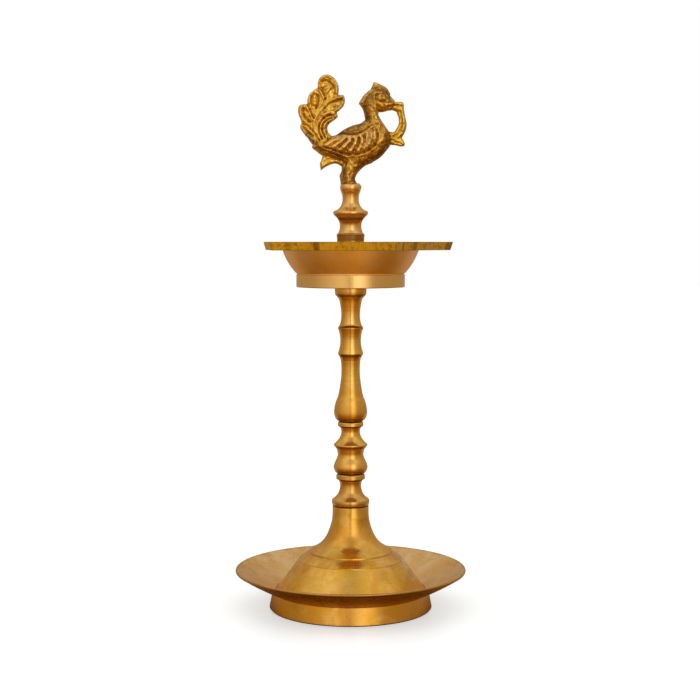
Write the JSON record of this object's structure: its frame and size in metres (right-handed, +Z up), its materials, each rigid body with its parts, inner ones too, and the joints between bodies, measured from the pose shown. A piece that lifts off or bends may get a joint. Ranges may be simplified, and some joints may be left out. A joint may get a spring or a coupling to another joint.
{
  "type": "standing oil lamp",
  "caption": "Tall brass standing oil lamp with a dished drip base, a turned screw-together stem, a beaked oil pan and a cast bird finial.",
  "frame": {"origin": "centre of the foot ring's resting face", "axes": "+Z up along the stem; the bird on top looks along +X; -Y is the side seen from in front"},
  "size_m": [0.1326, 0.1326, 0.305],
  "materials": {
    "foot_ring": "turned",
    "drip_plate": "turned",
    "base_bell": "turned",
    "base_stud": "turned",
    "lower_stem": "turned",
    "lower_joint_stud": "turned",
    "middle_stem": "turned",
    "upper_joint_stud": "turned",
    "upper_stem": "turned",
    "pan_stud": "turned",
    "oil_pan": "satin, filed edge",
    "spindle_stud": "turned",
    "spindle": "turned",
    "bird_stud": "turned",
    "bird": "cast, partly polished"
  },
  "bodies": {
    "base": {"foot_ring": "foot_ring", "drip_plate": "drip_plate", "base_bell": "base_bell"},
    "base_stud": {"base_stud": "base_stud"},
    "lower_stem": {"lower_stem": "lower_stem"},
    "lower_joint_stud": {"lower_joint_stud": "lower_joint_stud"},
    "middle_stem": {"middle_stem": "middle_stem"},
    "upper_joint_stud": {"upper_joint_stud": "upper_joint_stud"},
    "upper_stem": {"upper_stem": "upper_stem"},
    "pan_stud": {"pan_stud": "pan_stud"},
    "oil_pan": {"oil_pan": "oil_pan"},
    "spindle_stud": {"spindle_stud": "spindle_stud"},
    "spindle": {"spindle": "spindle"},
    "bird_stud": {"bird_stud": "bird_stud"},
    "bird": {"bird": "bird"}
  },
  "joints": [
    {"name": "lower_stem_rise", "type": "slide", "parent": "base", "child": "base_stud", "axis": [0, 0, 1], "range_m": [0, 0.01]},
    {"name": "lower_stem_unscrew", "type": "hinge", "parent": "base_stud", "child": "lower_stem", "pos_m": [0, 0, 0], "axis": [0, 0, 1], "range_deg": [0, 2880]},
    {"name": "middle_stem_rise", "type": "slide", "parent": "lower_stem", "child": "lower_joint_stud", "axis": [0, 0, 1], "range_m": [0, 0.0075]},
    {"name": "middle_stem_unscrew", "type": "hinge", "parent": "lower_joint_stud", "child": "middle_stem", "pos_m": [0, 0, 0], "axis": [0, 0, 1], "range_deg": [0, 2700]},
    {"name": "upper_stem_rise", "type": "slide", "parent": "middle_stem", "child": "upper_joint_stud", "axis": [0, 0, 1], "range_m": [0, 0.008]},
    {"name": "upper_stem_unscrew", "type": "hinge", "parent": "upper_joint_stud", "child": "upper_stem", "pos_m": [0, 0, 0], "axis": [0, 0, 1], "range_deg": [0, 2880]},
    {"name": "oil_pan_rise", "type": "slide", "parent": "upper_stem", "child": "pan_stud", "axis": [0, 0, 1], "range_m": [0, 0.01]},
    {"name": "oil_pan_unscrew", "type": "hinge", "parent": "pan_stud", "child": "oil_pan", "pos_m": [0, 0, 0], "axis": [0, 0, 1], "range_deg": [0, 2880]},
    {"name": "spindle_rise", "type": "slide", "parent": "oil_pan", "child": "spindle_stud", "axis": [0, 0, 1], "range_m": [0, 0.0065]},
    {"name": "spindle_unscrew", "type": "hinge", "parent": "spindle_stud", "child": "spindle", "pos_m": [0, 0, 0], "axis": [0, 0, 1], "range_deg": [0, 1872]},
    {"name": "bird_rise", "type": "slide", "parent": "spindle", "child": "bird_stud", "axis": [0, 0, 1], "range_m": [0, 0.0064]},
    {"name": "bird_unscrew", "type": "hinge", "parent": "bird_stud", "child": "bird", "pos_m": [0, 0, 0], "axis": [0, 0, 1], "range_deg": [0, 2880]}
  ],
  "couplings": [
    {"joint": "lower_stem_unscrew", "follows": "lower_stem_rise", "rad_per_m": 5026.5},
    {"joint": "middle_stem_unscrew", "follows": "middle_stem_rise", "rad_per_m": 6283.2},
    {"joint": "upper_stem_unscrew", "follows": "upper_stem_rise", "rad_per_m": 6283.2},
    {"joint": "oil_pan_unscrew", "follows": "oil_pan_rise", "rad_per_m": 5026.5},
    {"joint": "spindle_unscrew", "follows": "spindle_rise", "rad_per_m": 5026.5},
    {"joint": "bird_unscrew", "follows": "bird_rise", "rad_per_m": 7854}
  ]
}
